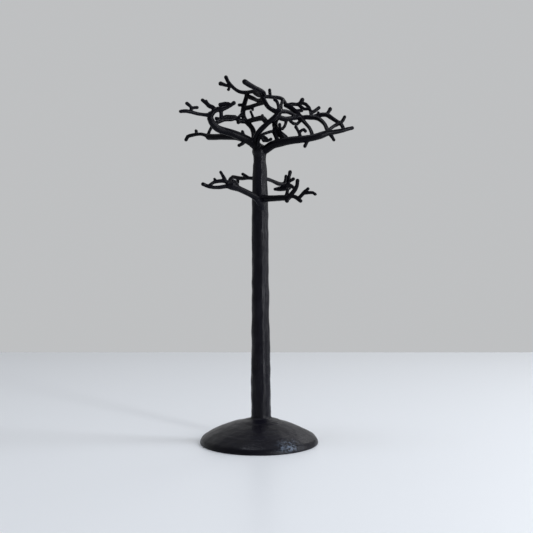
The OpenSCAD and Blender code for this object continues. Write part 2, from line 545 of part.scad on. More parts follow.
module right_limb() limb([right_limb_route, right_limb_spur, right_limb_drop], right_peg,
                         [left_limb_route, front_limb_route]);
module right_y_twig() luted([right_y_route, right_y_arm], [right_limb_route]);
module inner_right_limb() luted([inner_right_route], [right_limb_route, front_limb_route]);
module inner_right_prop() luted([inner_prop_route], [inner_right_route, right_limb_route]);
module lower_bar() luted([lower_bar_route], [front_limb_route, inner_right_route, diagonal_route]);
module upper_bar() luted([upper_bar_route], [front_limb_route, inner_right_route, diagonal_route,
                                            lower_bar_route]);
module hanging_hook() luted([hanging_hook_route], [lower_bar_route]);
module hanging_loop() luted([hanging_loop_route], [lower_bar_route, diagonal_route, reach_route]);
module diagonal_branch() luted([diagonal_route, diagonal_knob]);
module crest_bar() luted([crest_route], [diagonal_route]);
module right_arc() luted([right_arc_route, right_arc_inner], [crest_route, reach_route]);
module arc_twig() luted([arc_twig_route], [right_arc_route]);
module reaching_branch() luted([reach_route], [diagonal_route, lower_bar_route, right_limb_route]);
module right_strut() luted([strut_route], [diagonal_route, reach_route, lower_bar_route, hanging_loop_route,
                                          right_limb_route]);
module far_right_branch() luted([far_right_route, far_right_bump, far_right_twig], [reach_route,
                                                                                  right_arc_route]);
module far_right_fork() luted([far_fork_up, far_fork_down, far_fork_back], [far_right_route,
                                                                          right_limb_route, reach_route]);

// ---------- lower tier ----------

module low_left_limb() limb([low_left_route], low_left_peg);
module low_left_twig() luted([low_left_long_route], [low_left_route]);
module low_left_loop() luted([low_left_loop_route, low_left_spike, low_left_loop_tip],
                             [low_left_route, low_left_long_route]);
module low_left_claw() luted([low_left_claw_route], [low_left_route, low_left_loop_route]);
module low_back_left_limb() luted([low_back_left_route, low_back_left_spur, low_back_left_drop])
    trunk_blank(joint_gap);
module low_right_limb() limb([low_right_route, low_right_bump, low_right_stub], low_right_peg,
                             [low_left_route]);
module low_right_upright() luted([low_right_upright_route], [low_right_route]);
module low_right_fork() luted([low_right_fork_route, low_right_fork_up, low_right_fork_side],
                              [low_right_route, low_right_upright_route]);
module low_back_right_limb() luted([low_back_right_route])
    trunk_blank(joint_gap);
module low_back_right_spray() luted([spray_leaf, spray_spine, spray_spike, spray_spur, spray_twig],
                                    [low_back_right_route]);

// ---------- the whole tree, or one piece of it ----------

foot_dome();
felt_pad();
foot_collar();
trunk();
core_rod();
rod_nut();
rod_washer();
crown_knuckle();
crown_pegs();
lower_pegs();
left_limb();
left_outer_twig();
left_inner_fork();
left_fork_tips();
left_fork_bar();
back_left_limb();
back_left_twig();
back_left_upright();
centre_limb();
side_branch();
side_twig();
crossbar();
top_twig();
top_sprig();
front_finger();
link_limb();
link_brace();
upper_arc();
arc_upright();
head_hook();
front_limb();
bridge_limb();
thin_branch();
front_curl();
right_limb();
right_y_twig();
inner_right_limb();
inner_right_prop();
lower_bar();
upper_bar();
hanging_hook();
hanging_loop();
diagonal_branch();
crest_bar();
right_arc();
arc_twig();
reaching_branch();
right_strut();
far_right_branch();
far_right_fork();
low_left_limb();
low_left_twig();
low_left_loop();
low_left_claw();
low_back_left_limb();
low_right_limb();
low_right_upright();
low_right_fork();
low_back_right_limb();
low_back_right_spray();
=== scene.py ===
# %% [markdown]
# # A clay tree of life
# This lesson finishes a bare black tree: a domed foot, a tall plain trunk, a crown of bent limbs and a
# small lower tier. The CAD frame holds the true size of every coil of clay. Blender gives the coils
# their soft, hand-worked surface, and gives the clay, the steel and the felt their look.
# Everything is in metres, in the frame's own place, so no piece is ever moved.

# %% Load the frame
import json
import math

import bmesh
import bpy
import numpy as np
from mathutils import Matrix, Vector
from mathutils.bvhtree import BVHTree


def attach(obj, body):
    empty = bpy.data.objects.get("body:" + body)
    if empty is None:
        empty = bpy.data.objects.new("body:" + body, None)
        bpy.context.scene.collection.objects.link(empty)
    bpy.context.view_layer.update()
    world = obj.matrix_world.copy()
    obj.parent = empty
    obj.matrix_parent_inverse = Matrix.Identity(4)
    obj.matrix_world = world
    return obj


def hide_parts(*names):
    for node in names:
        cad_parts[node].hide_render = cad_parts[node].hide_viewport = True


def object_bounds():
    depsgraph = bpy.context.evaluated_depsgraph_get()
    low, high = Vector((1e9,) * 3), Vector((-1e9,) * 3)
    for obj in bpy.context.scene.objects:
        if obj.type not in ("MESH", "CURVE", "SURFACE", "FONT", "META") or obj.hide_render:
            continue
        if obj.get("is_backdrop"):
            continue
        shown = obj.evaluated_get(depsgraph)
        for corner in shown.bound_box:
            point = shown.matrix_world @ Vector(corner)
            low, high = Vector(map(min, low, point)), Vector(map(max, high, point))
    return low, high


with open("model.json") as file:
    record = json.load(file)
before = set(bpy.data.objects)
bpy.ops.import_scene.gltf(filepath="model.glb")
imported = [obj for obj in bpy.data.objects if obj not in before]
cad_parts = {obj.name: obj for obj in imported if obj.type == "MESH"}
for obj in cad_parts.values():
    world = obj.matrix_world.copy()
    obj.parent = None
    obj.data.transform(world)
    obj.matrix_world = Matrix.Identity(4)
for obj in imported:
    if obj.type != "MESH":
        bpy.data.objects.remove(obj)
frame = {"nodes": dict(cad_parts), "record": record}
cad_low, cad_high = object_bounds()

MM = 0.001
nodes = frame["nodes"]
slot_of = {part["node"]: part["material_slot"] for part in frame["record"]["subparts"]}
clay_names = sorted(name for name in nodes if slot_of[name] == "clay")
print(f"{len(nodes)} nodes, {len(clay_names)} of them clay, {(cad_high[2] - cad_low[2]) / MM:.0f} mm tall")

# %% [markdown]
# ## The camera
# A level camera keeps the trunk's edges upright. It stands at about half the tree's height, a finger's
# width to the right of the foot's middle, and looks straight back.

# %% Camera
CAMERA_PLACE = (6 * MM, -651 * MM, 142.8 * MM)
LENS_MM = 54.03

lens = bpy.data.cameras.new("camera")
lens.sensor_width = 36
lens.lens = LENS_MM
lens.clip_start = 0.01
lens.clip_end = 20
camera = bpy.data.objects.new("camera", lens)
camera.location = CAMERA_PLACE
camera.rotation_euler = (math.radians(90), 0, 0)
bpy.context.scene.collection.objects.link(camera)
bpy.context.scene.camera = camera
# A plain view curve: the default one lifts the darkest tones, and black clay would turn grey.
bpy.context.scene.view_settings.view_transform = "Standard"
print("camera stands at", CAMERA_PLACE)

# %% [markdown]
# ## Short helpers for node trees
# Geometry nodes and shader nodes are both built by hand here. One helper links or sets an input, one adds a
# node, one opens a group with named inputs and outputs, and one runs a group on an object.


# %% Node helpers
def feed(tree, node, inputs):
    """Links or sets a node's inputs, by index or by name."""
    for key, value in inputs.items():
        if isinstance(value, bpy.types.NodeSocket):
            tree.links.new(value, node.inputs[key])
        else:
            node.inputs[key].default_value = value
    return node


def add_node(tree, kind, inputs=None, **settings):
    """Adds a node, sets its properties, then feeds its inputs."""
    node = tree.nodes.new(kind)
    for name, value in settings.items():
        setattr(node, name, value)
    return feed(tree, node, inputs or {})


def open_group(name, kind, inputs, outputs):
    """Makes a node group. Inputs and outputs are (name, socket kind, default or None)."""
    tree = bpy.data.node_groups.new(name, kind)
    for direction, sockets in (("INPUT", inputs), ("OUTPUT", outputs)):
        for label, socket_kind, default in sockets:
            kind_name = "NodeSocket" + socket_kind
            socket = tree.interface.new_socket(label, in_out=direction, socket_type=kind_name)
            if default is not None:
                socket.default_value = default
    return tree, tree.nodes.new("NodeGroupInput").outputs, tree.nodes.new("NodeGroupOutput").inputs


def calc(tree, operation, *values):
    """One math step on numbers."""
    return add_node(tree, "ShaderNodeMath", dict(enumerate(values)), operation=operation).outputs[0]


def vector_calc(tree, operation, *values):
    """One math step on vectors. SCALE takes a vector and a number."""
    inputs = {0: values[0], "Scale" if operation == "SCALE" else 1: values[1]}
    return add_node(tree, "ShaderNodeVectorMath", inputs, operation=operation).outputs[0]


def run_group(obj, tree, values):
    """Runs a geometry group on an object with named values, and returns the result as a plain mesh."""
    modifier = obj.modifiers.new(tree.name, "NODES")
    modifier.node_group = tree
    for item in tree.interface.items_tree:
        if item.item_type == "SOCKET" and item.in_out == "INPUT" and item.name in values:
            modifier[item.identifier] = values[item.name]
    depsgraph = bpy.context.evaluated_depsgraph_get()
    mesh = bpy.data.meshes.new_from_object(obj.evaluated_get(depsgraph))
    obj.modifiers.remove(modifier)
    return mesh


# %% [markdown]
# ## Effects that the finishes share
# Three effects turn up on more than one material, so each is a shader group with its own inputs:
# *grain* is the fine tooth of a matt body, *streaks* are the long strokes left by a burnishing stone or a
# file, and *handling* says where edges are rubbed and where dust settles. The groups only put out values
# that change over the surface. The Principled shader stays in each material.

# %% Grain group
grain, gi, go = open_group(
    "surface grain",
    "ShaderNodeTree",
    [("Vector", "Vector", None), ("Size", "Float", 900.0), ("Pits", "Float", 0.5)],
    [("Mottle", "Float", None), ("Height", "Float", None)],
)
fine = add_node(grain, "ShaderNodeTexNoise", {"Vector": gi["Vector"], "Scale": gi["Size"], "Detail": 4.0,
                                              "Roughness": 0.6})
slow_scale = calc(grain, "MULTIPLY", gi["Size"], 0.045)
slow = add_node(grain, "ShaderNodeTexNoise", {"Vector": gi["Vector"], "Scale": slow_scale, "Detail": 3.0,
                                              "Roughness": 0.55})
pit_scale = calc(grain, "MULTIPLY", gi["Size"], 0.5)
pit_cells = add_node(grain, "ShaderNodeTexVoronoi", {"Vector": gi["Vector"], "Scale": pit_scale})
pit = add_node(grain, "ShaderNodeMapRange", {"Value": pit_cells.outputs["Distance"], "From Min": 0.02,
                                             "From Max": 0.22, "To Min": 1.0, "To Max": 0.0})
pit_depth = calc(grain, "MULTIPLY", pit.outputs[0], gi["Pits"])
grain.links.new(slow.outputs[0], go["Mottle"])
grain.links.new(calc(grain, "SUBTRACT", fine.outputs[0], pit_depth), go["Height"])

# %% Streaks group
streaks, si, so = open_group(
    "tool streaks",
    "ShaderNodeTree",
    [("Vector", "Vector", None), ("Across", "Float", 900.0), ("Along", "Float", 60.0),
     ("Seed", "Float", 0.0)],
    [("Mask", "Float", None), ("Height", "Float", None)],
)
across = add_node(streaks, "ShaderNodeCombineXYZ", {"X": si["Along"], "Y": si["Across"], "Z": si["Across"]})
stretched = vector_calc(streaks, "MULTIPLY", si["Vector"], across.outputs[0])
strokes = add_node(streaks, "ShaderNodeTexNoise", {"Vector": stretched, "W": si["Seed"], "Scale": 1.0,
                                                   "Detail": 3.0, "Roughness": 0.55}, noise_dimensions="4D")
wide = add_node(streaks, "ShaderNodeTexNoise", {"Vector": vector_calc(streaks, "SCALE", stretched, 0.22),
                                                "W": si["Seed"], "Scale": 1.0, "Detail": 2.0},
                noise_dimensions="4D")
both = calc(streaks, "ADD", calc(streaks, "MULTIPLY", strokes.outputs[0], 0.5),
            calc(streaks, "MULTIPLY", wide.outputs[0], 0.5))
mask = add_node(streaks, "ShaderNodeMapRange", {"Value": both, "From Min": 0.4, "From Max": 0.62})
streaks.links.new(mask.outputs[0], so["Mask"])
streaks.links.new(both, so["Height"])

# %% Handling group
handling, hi, ho = open_group(
    "handling",
    "ShaderNodeTree",
    [("Ridge", "Float", 0.0), ("Crease", "Float", 0.0), ("Break up", "Float", 0.5)],
    [("Rubbed", "Float", None), ("Dusty", "Float", None)],
)
broken = add_node(handling, "ShaderNodeMapRange", {"Value": hi["Break up"], "From Min": 0.35,
                                                   "From Max": 0.65}).outputs[0]
handling.links.new(calc(handling, "MULTIPLY", hi["Ridge"], broken), ho["Rubbed"])
thinned = calc(handling, "SUBTRACT", 1.0, calc(handling, "MULTIPLY", broken, 0.5))
handling.links.new(calc(handling, "MULTIPLY", hi["Crease"], thinned), ho["Dusty"])
print("shader groups:", grain.name, "/", streaks.name, "/", handling.name)

# %% [markdown]
# ## The clay
# Black smoke-fired clay is charcoal all the way through. Rubbed with a smooth stone before firing it takes
# a satin shine with a cold, slightly violet cast, and the strokes of the stone show as faint bands.
# Three things carry that look: a very dark mottled colour, a roughness that the strokes break up, and a
# shallow bump. Limbs and twigs have a second material with the same nodes and less shine, and twigs are
# turned towards the deepest colour: both are painted shade for the crown. The strokes run along each coil,
# so their pattern reads a *grain* attribute that is stored on the mesh further down, with its X along the
# coil.

# %% Material helpers
def new_material(name):
    """An empty material, its node tree and its Principled shader."""
    material = bpy.data.materials.new(name)
    material.use_nodes = True
    tree = material.node_tree
    shader = tree.nodes["Principled BSDF"]
    return material, tree, shader


def place_group(tree, group, inputs):
    """Puts a shader group into a material, and returns its outputs."""
    return add_node(tree, "ShaderNodeGroup", inputs, node_tree=group).outputs


def mix_colour(tree, share, low, high):
    """The low colour turned towards the high one by a share from 0 to 1."""
    return add_node(tree, "ShaderNodeMix", {0: share, 6: low, 7: high}, data_type="RGBA").outputs[2]


# %% Clay
CLAY_DEEP = (0.0008, 0.0007, 0.0018, 1)
CLAY_BODY = (0.0036, 0.0032, 0.0066, 1)
CLAY_RUBBED = (0.011, 0.011, 0.018, 1)
CLAY_DUST = (0.014, 0.014, 0.018, 1)
# Pale bluish colour of the painted highlight on the foot's shoulder, standing for the window's reflection.
CLAY_HIGHLIGHT_PAINT = (0.12, 0.15, 0.20, 1)
# The lower shine is painted shade for the limbs and twigs of the crown.
BURNISHED, SHADE_SHINE = 0.14, 0.08


def clay_finish(name, shine):
    """The clay's look. Shine is the specular level: the burnished clay's, or a lower one that is painted
    shade for the crown.
    """
    material, tree, shader = new_material(name)
    place = add_node(tree, "ShaderNodeTexCoord").outputs["Object"]
    along = add_node(tree, "ShaderNodeAttribute", attribute_name="grain").outputs["Vector"]
    ridge, crease, painted_highlight, lute, twig = (
        add_node(tree, "ShaderNodeAttribute", attribute_name=label).outputs["Fac"]
        for label in ("ridge", "crease", "painted_highlight", "lute", "twig"))
    tooth = place_group(tree, grain, {"Vector": place, "Size": 520.0, "Pits": 0.25})
    stroke = place_group(tree, streaks, {"Vector": along, "Across": 420.0, "Along": 45.0, "Seed": 2.0})
    use = place_group(tree, handling, {"Ridge": ridge, "Crease": crease, "Break up": tooth["Mottle"]})

    colour = mix_colour(tree, tooth["Mottle"], CLAY_DEEP, CLAY_BODY)
    colour = mix_colour(tree, calc(tree, "MULTIPLY", stroke["Mask"], 0.35), colour, CLAY_RUBBED)
    colour = mix_colour(tree, calc(tree, "MULTIPLY", use["Rubbed"], 0.6), colour, CLAY_RUBBED)
    colour = mix_colour(tree, calc(tree, "MULTIPLY", use["Dusty"], 0.35), colour, CLAY_DUST)
    patchy = add_node(tree, "ShaderNodeTexNoise", {"Vector": place, "Scale": 420.0, "Detail": 5.0,
                                                   "Roughness": 0.7})
    highlight_breakup = add_node(tree, "ShaderNodeMapRange", {"Value": patchy.outputs[0], "From Min": 0.47,
                                                 "From Max": 0.62})
    # Painted highlight: the foot's shoulder turns pale blue where the window would reflect, broken up by
    # noise.
    colour = mix_colour(tree, calc(tree, "MULTIPLY", highlight_breakup.outputs[0], painted_highlight), colour, CLAY_HIGHLIGHT_PAINT)
    # Painted shade: thin twigs are turned towards the deepest colour, standing for the shade between them.
    colour = mix_colour(tree, calc(tree, "MULTIPLY", twig, 0.7), colour, CLAY_DEEP)
    tree.links.new(colour, shader.inputs["Base Color"])

    plain = calc(tree, "SUBTRACT", 1.0, lute)
    gloss = calc(tree, "MULTIPLY", stroke["Mask"], calc(tree, "MULTIPLY", plain, 0.1))
    rough = calc(tree, "SUBTRACT", 0.35, gloss)
    blotches = calc(tree, "MULTIPLY", calc(tree, "SUBTRACT", tooth["Mottle"], 0.5), 0.3)
    rough = calc(tree, "ADD", calc(tree, "ADD", rough, blotches), calc(tree, "MULTIPLY", use["Dusty"], 0.2))
    tree.links.new(rough, shader.inputs["Roughness"])

    stroke_height = calc(tree, "MULTIPLY", calc(tree, "MULTIPLY", stroke["Height"], plain), 0.6)
    tooth_share = calc(tree, "SUBTRACT", 0.65, calc(tree, "MULTIPLY", twig, 0.45))
    height = calc(tree, "ADD", stroke_height, calc(tree, "MULTIPLY", tooth["Height"], tooth_share))
    bump = add_node(tree, "ShaderNodeBump", {"Height": height, "Strength": 0.65, "Distance": 0.6 * MM})
    tree.links.new(bump.outputs[0], shader.inputs["Normal"])
    shader.inputs["Specular IOR Level"].default_value = shine
    return material


clay = clay_finish("burnished black clay", BURNISHED)
shaded_twig_clay = clay_finish("shaded black slip", SHADE_SHINE)

# %% [markdown]
# ## Steel and felt
# The core rod, its nut and washer and the short wire pegs are plain bright steel, drawn lengthwise, so the
# same streaks run down them in object space. The pad under the foot is pressed wool felt: a warm dark
# grey, quite rough, with a sheen of fibres.

# %% Steel
STEEL_DARK = (0.22, 0.22, 0.23, 1)
STEEL_BRIGHT = (0.52, 0.52, 0.53, 1)

steel, tree, shader = new_material("drawn steel")
place = add_node(tree, "ShaderNodeTexCoord").outputs["Object"]
tooth = place_group(tree, grain, {"Vector": place, "Size": 2500.0, "Pits": 0.1})
drawn = place_group(tree, streaks, {"Vector": place, "Across": 3500.0, "Along": 3500.0, "Seed": 7.0})
tree.links.new(mix_colour(tree, drawn["Mask"], STEEL_DARK, STEEL_BRIGHT), shader.inputs["Base Color"])
rough = calc(tree, "ADD", 0.25, calc(tree, "MULTIPLY", tooth["Mottle"], 0.25))
tree.links.new(rough, shader.inputs["Roughness"])
bump = add_node(tree, "ShaderNodeBump", {"Height": tooth["Height"], "Strength": 0.1, "Distance": 0.05 * MM})
tree.links.new(bump.outputs[0], shader.inputs["Normal"])
shader.inputs["Metallic"].default_value = 1.0

# %% Felt
FELT_LOW = (0.018, 0.018, 0.020, 1)
FELT_HIGH = (0.075, 0.073, 0.072, 1)

felt, tree, shader = new_material("pressed felt")
place = add_node(tree, "ShaderNodeTexCoord").outputs["Object"]
fibres = place_group(tree, grain, {"Vector": place, "Size": 2200.0, "Pits": 0.6})
tangle = place_group(tree, streaks, {"Vector": place, "Across": 1800.0, "Along": 500.0, "Seed": 4.0})
fluff = calc(tree, "MULTIPLY", calc(tree, "ADD", fibres["Height"], tangle["Height"]), 0.5)
shade = add_node(tree, "ShaderNodeMapRange", {"Value": fluff, "From Min": 0.25, "From Max": 0.6})
tree.links.new(mix_colour(tree, shade.outputs[0], FELT_LOW, FELT_HIGH), shader.inputs["Base Color"])
rough = calc(tree, "ADD", 0.85, calc(tree, "MULTIPLY", tangle["Mask"], 0.1))
tree.links.new(rough, shader.inputs["Roughness"])
bump = add_node(tree, "ShaderNodeBump", {"Height": fluff, "Strength": 0.7, "Distance": 0.4 * MM})
tree.links.new(bump.outputs[0], shader.inputs["Normal"])
shader.inputs["Sheen Weight"].default_value = 0.4
finishes = {"clay": clay, "steel": steel, "felt": felt}
print("finishes:", ", ".join(material.name for material in [*finishes.values(), shaded_twig_clay]))

# %% [markdown]
# ## One skin over all the coils
# On the real tree each limb is a rolled coil, pressed onto its neighbour with wet clay and smoothed until
# the joint disappears. Shaping every fillet by hand would take hundreds of loops, and joining everything
# into one mesh would lose the separate pieces. The way here lies between the two: the coils are melted
# into one skin, the skin is smoothed and tooled, and then it is cut back into pieces along the joints.
# Neighbours keep the same edge points and the same normals, so a joint doesn't show, and each piece is
# still a closed mesh of its own.

# %% Melt the coils
VOXEL = 0.48 * MM
PRESS = 0.05 * MM


def points_of(mesh):
    """A mesh's points, as rows of X, Y and Z."""
    points = np.empty(len(mesh.vertices) * 3, np.float32)
    mesh.vertices.foreach_get("co", points)
    return points.reshape(-1, 3).astype(np.float64)


def triangles_of(mesh):
    """The point numbers of each triangle of a mesh."""
    mesh.calc_loop_triangles()
    corners = np.empty(len(mesh.loop_triangles) * 3, np.int32)
    mesh.loop_triangles.foreach_get("vertices", corners)
    return corners.reshape(-1, 3).astype(np.int64)


def melt(names):
    """A voxel skin round copies of the CAD nodes, each pressed outwards a hair to close the joints."""
    shell = bmesh.new()
    for name in names:
        coil = bmesh.new()
        coil.from_mesh(nodes[name].data)
        bmesh.ops.remove_doubles(coil, verts=coil.verts, dist=0.002 * MM)
        coil.normal_update()
        for vertex in coil.verts:
            vertex.co += vertex.normal * PRESS
        pressed = bpy.data.meshes.new(name)
        coil.to_mesh(pressed)
        coil.free()
        shell.from_mesh(pressed)
        bpy.data.meshes.remove(pressed)
    mesh = bpy.data.meshes.new("melt")
    shell.to_mesh(mesh)
    shell.free()
    obj = bpy.data.objects.new("melt", mesh)
    bpy.context.scene.collection.objects.link(obj)
    remesh = obj.modifiers.new("voxels", "REMESH")
    remesh.mode = "VOXEL"
    remesh.voxel_size = VOXEL
    depsgraph = bpy.context.evaluated_depsgraph_get()
    skin = bpy.data.meshes.new_from_object(obj.evaluated_get(depsgraph))
    bpy.data.objects.remove(obj)
    return skin


def settle(links, count):
    """Gives every item the lowest number it is linked to, so that linked items share one number."""
    group = np.arange(count)
    while True:
        before = group.copy()
        low = np.minimum(group[links[:, 0]], group[links[:, 1]])
        np.minimum.at(group, links[:, 0], low)
        np.minimum.at(group, links[:, 1], low)
        group = group[group]
        if (group == before).all():
            return group


melted = melt(clay_names)
points, triangles = points_of(melted), triangles_of(melted)
bpy.data.meshes.remove(melted)
print(f"melted skin: {len(points)} points, {len(triangles)} triangles")

# %% [markdown]
# Small pockets inside the clay, such as the sockets of the pegs, came out as separate bubbles. A bubble's
# faces point into its own middle, so its volume is negative, and it can be left out.

# %% Leave out the bubbles
two_sides = np.concatenate([triangles[:, [0, 1]], triangles[:, [1, 2]]])
shell_of = settle(two_sides, len(points))[triangles[:, 0]]
a, b, c = (points[triangles[:, k]] for k in range(3))
volumes = np.bincount(shell_of, np.einsum("ij,ij->i", a, np.cross(b, c)) / 6, len(points))
CUBIC_MM = MM**3
triangles = triangles[volumes[shell_of] > CUBIC_MM]
used, triangles = np.unique(triangles, return_inverse=True)
points, triangles = points[used], triangles.reshape(-1, 3)
print(f"outer skin: {(volumes > CUBIC_MM).sum()} shell(s), {(volumes < 0).sum()} bubbles left out")

# %% [markdown]
# ## Smoothing without shrinking
# A plain smooth would thin the twigs, because every pass pulls a tube in towards its middle. Taubin's way
# takes one step in and then a slightly larger step out, so ridges and steps fade but the thickness stays.
# The points live in one array, so each pass over the whole tree takes a fraction of a second.

# %% Smooth the skin
SMOOTH_PASSES = 16
STEP_IN, STEP_OUT = 0.55, -0.57

edges = np.unique(np.sort(triangles[:, [0, 1, 1, 2, 2, 0]].reshape(-1, 2), axis=1), axis=0)
degree = np.bincount(edges.ravel(), minlength=len(points)).astype(float)


def neighbour_mean(values):
    """The mean of each point's neighbours, for one or more columns of values."""
    columns = values.reshape(len(values), -1)
    sums = [np.bincount(edges[:, 0], column[edges[:, 1]], len(column))
            + np.bincount(edges[:, 1], column[edges[:, 0]], len(column)) for column in columns.T]
    return (np.stack(sums, 1) / degree[:, None]).reshape(values.shape)


def spread(values, passes):
    """Lets values spread over the skin, as a drop of water would."""
    for _ in range(passes):
        values = 0.5 * values + 0.5 * neighbour_mean(values)
    return values


def ramp(values, low, high):
    """0 at low, 1 at high, and straight in between."""
    return np.clip((values - low) / (high - low), 0, 1)


def point_normals(points):
    """The way out at each point: the mean of its triangles' normals."""
    a, b, c = (points[triangles[:, k]] for k in range(3))
    face = np.cross(b - a, c - a)
    normals = np.stack([sum(np.bincount(triangles[:, k], face[:, axis], len(points)) for k in range(3))
                        for axis in range(3)], 1)
    return normals / np.maximum(np.linalg.norm(normals, axis=1, keepdims=True), 1e-12)


for _ in range(SMOOTH_PASSES):
    for step in (STEP_IN, STEP_OUT):
        points += step * (neighbour_mean(points) - points)
print(f"smoothed in {SMOOTH_PASSES} passes")

# %% [markdown]
# The thinnest twigs still lose a little. Every point now looks up the CAD surface it came from. Where the
# skin has sunk below it, averaged over a few millimetres, it is let out again. Where it stands above, as in
# the fillets of the joints, it stays. The foot's sharp lower edge is put back exactly, because the tree
# stands on it.

# %% Let the skin out
RIM_HEIGHT, RIM_RADIUS = 4 * MM, 36 * MM


def cad_lookup(names):
    """One search tree over the CAD triangles, and the piece number of each of them."""
    corners, triples, owner, count = [], [], [], 0
    for number, name in enumerate(names):
        mesh = nodes[name].data
        triples.append(triangles_of(mesh) + count)
        corners.append(points_of(mesh))
        owner.append(np.full(len(triples[-1]), number))
        count += len(mesh.vertices)
    finder = BVHTree.FromPolygons(np.concatenate(corners).tolist(), np.concatenate(triples).tolist())
    return finder, np.concatenate(owner)


def height_over_cad(point):
    """How far a point stands above the nearest CAD surface."""
    near, facing, _, _ = finder.find_nearest(Vector(point))
    return (Vector(point) - near).dot(facing)


finder, owner = cad_lookup(clay_names)
ground = (points[:, 2] < RIM_HEIGHT) & (np.hypot(points[:, 0], points[:, 1]) > RIM_RADIUS)
for index in np.flatnonzero(ground):
    points[index] = finder.find_nearest(Vector(points[index]))[0]
sunk = spread(np.array([height_over_cad(point) for point in points]), 12)
points -= point_normals(points) * np.minimum(sunk, 0)[:, None]
print(f"let out by up to {-sunk.min() / MM:.2f} mm")

# %% [markdown]
# ## Which piece does each bit of skin belong to?
# Every triangle of the skin goes to the piece whose CAD surface is nearest. The raw answer is ragged along
# the joints, so a triangle that is outvoted by its neighbours changes sides, and patches too small to be
# a piece join the patch next to them.

# %% Sort the skin by piece
piece_of = np.array([owner[finder.find_nearest(Vector(centre))[2]] for centre in points[triangles].mean(1)])

# Side i runs from corner i to the next corner of its triangle. Its mate runs the other way.
count = triangles.size
start = triangles.ravel()
following = np.arange(count) - np.arange(count) % 3 + (np.arange(count) + 1) % 3
end = start[following]
forward, backward = np.flatnonzero(start < end), np.flatnonzero(start > end)
forward = forward[np.lexsort((end[forward], start[forward]))]
backward = backward[np.lexsort((start[backward], end[backward]))]
mate = np.empty(count, np.int64)
mate[forward], mate[backward] = backward, forward

VOTES = 8
beside = (mate // 3).reshape(-1, 3)
for _ in range(VOTES):
    near = piece_of[beside]
    last_two = np.where(near[:, 1] == near[:, 2], near[:, 1], piece_of)
    piece_of = np.where((near[:, 0] == near[:, 1]) | (near[:, 0] == near[:, 2]), near[:, 0], last_two)

CRUMB = 160
across_sides = np.stack([np.arange(count) // 3, mate // 3], 1)
for _ in range(4):
    inside = across_sides[piece_of[across_sides[:, 0]] == piece_of[across_sides[:, 1]]]
    patch = settle(inside, len(triangles))
    crumb = np.bincount(patch, minlength=len(triangles))[patch] < CRUMB
    while crumb.any():
        touching = across_sides[crumb[across_sides[:, 0]] & ~crumb[across_sides[:, 1]]]
        if not len(touching):
            break
        piece_of[touching[:, 0]] = piece_of[touching[:, 1]]
        crumb[touching[:, 0]] = False
print("pieces with skin:", len(np.unique(piece_of)), "of", len(clay_names))

# %% [markdown]
# ## The way each coil runs
# Strokes and pull marks follow the coil. The long axis of each piece is found from the spread of its
# points, and a *grain* vector is stored with X along that axis. The foot was turned by hand under a cloth,
# so there X runs round the axis of the tree.

# %% Grain of each piece
round_names = {"foot_dome", "foot_collar"}


def grain_of(name, places):
    """Places in a piece's own axes: along the coil, then the two ways across it."""
    if name in round_names:
        radius = np.hypot(places[:, 0], places[:, 1])
        angle = np.arctan2(np.abs(places[:, 0]), -places[:, 1])
        return np.stack([angle * 40 * MM, radius, places[:, 2]], 1)
    if name == "trunk":
        return places[:, [2, 0, 1]]
    middle = places.mean(0)
    _, _, axes = np.linalg.svd((places - middle)[:: max(1, len(places) // 2000)], full_matrices=False)
    return (places - middle) @ axes.T + middle


skin_grain = np.zeros_like(points)
joint = np.zeros(len(points))
for number, name in enumerate(clay_names):
    mine = np.unique(triangles[piece_of == number])
    if len(mine):
        skin_grain[mine] = grain_of(name, points[mine])
edge_side = piece_of[np.arange(count) // 3] != piece_of[mate // 3]
joint[start[edge_side]] = 1
lute_mask = np.clip(spread(joint, 24) * 4, 0, 1)
# The foot keeps most of its smoothness too, so it counts as three quarters luted.
round_numbers = [clay_names.index(name) for name in sorted(round_names)]
foot_points = np.isin(np.arange(len(points)), triangles[np.isin(piece_of, round_numbers)])
lute_mask = np.maximum(lute_mask, 0.75 * spread(foot_points.astype(float), 4))
print(f"{edge_side.sum() // 2} sides lie on joints")

# %% [markdown]
# ## The collar and a coat of slip
# Where the trunk meets the foot the potter wiped the collar with a wet thumb, so a few plain smoothing
# passes soften just that ring. Then the tree was dipped in fine liquid clay, called slip, before it was
# rubbed. Slip hardly shows on the broad foot, thickens thin twigs and gathers in drops at their tips,
# where the skin curves most.

# %% Wipe the collar
from_axis = np.hypot(points[:, 0], points[:, 1])
collar = ramp(from_axis, 24 * MM, 17 * MM) * (from_axis > 6 * MM)
collar = collar * ramp(points[:, 2], 9 * MM, 12 * MM) * ramp(points[:, 2], 34 * MM, 24 * MM)
for _ in range(30):
    points += 0.5 * collar[:, None] * (neighbour_mean(points) - points)
print(f"{(collar > 0).sum()} points wiped")

# %% Coat with slip
SLIP_ON_TWIGS, SLIP_ON_TRUNK, DROPS = 0.26 * MM, 0.1 * MM, 0.3 * MM


def bulge(points, passes):
    """How far each point stands out from its neighbours. A tip stands out twice as far as a tube."""
    out = spread(np.einsum("ij,ij->i", points - neighbour_mean(points), point_normals(points)), passes)
    return out / (VOXEL * VOXEL)


twig_share = np.maximum(ramp(points[:, 2], 225 * MM, 240 * MM),
                        ramp(from_axis, 7 * MM, 12 * MM) * ramp(points[:, 2], 60 * MM, 90 * MM))
trunk_share = ramp(points[:, 2], 15 * MM, 30 * MM)
coat = SLIP_ON_TRUNK * trunk_share + (SLIP_ON_TWIGS - SLIP_ON_TRUNK) * twig_share
curved = bulge(points, 6)
drops = spread(ramp(curved, 190, 330), 5)
coat += DROPS * drops * twig_share
points += point_normals(points) * coat[:, None]
print(f"slip up to {coat.max() / MM:.2f} mm thick")

# %% [markdown]
# ## The marks of the hand
# Clay that is smoothed by hand is never a true tube. Thumbs leave shallow dents, a wooden knife leaves
# long flat facets, and pulled coils keep a ripple along their length. One Geometry Nodes group moves every
# point along its normal by the sum of the three. Its depths and sizes are named inputs, so one group
# suits any clay piece.

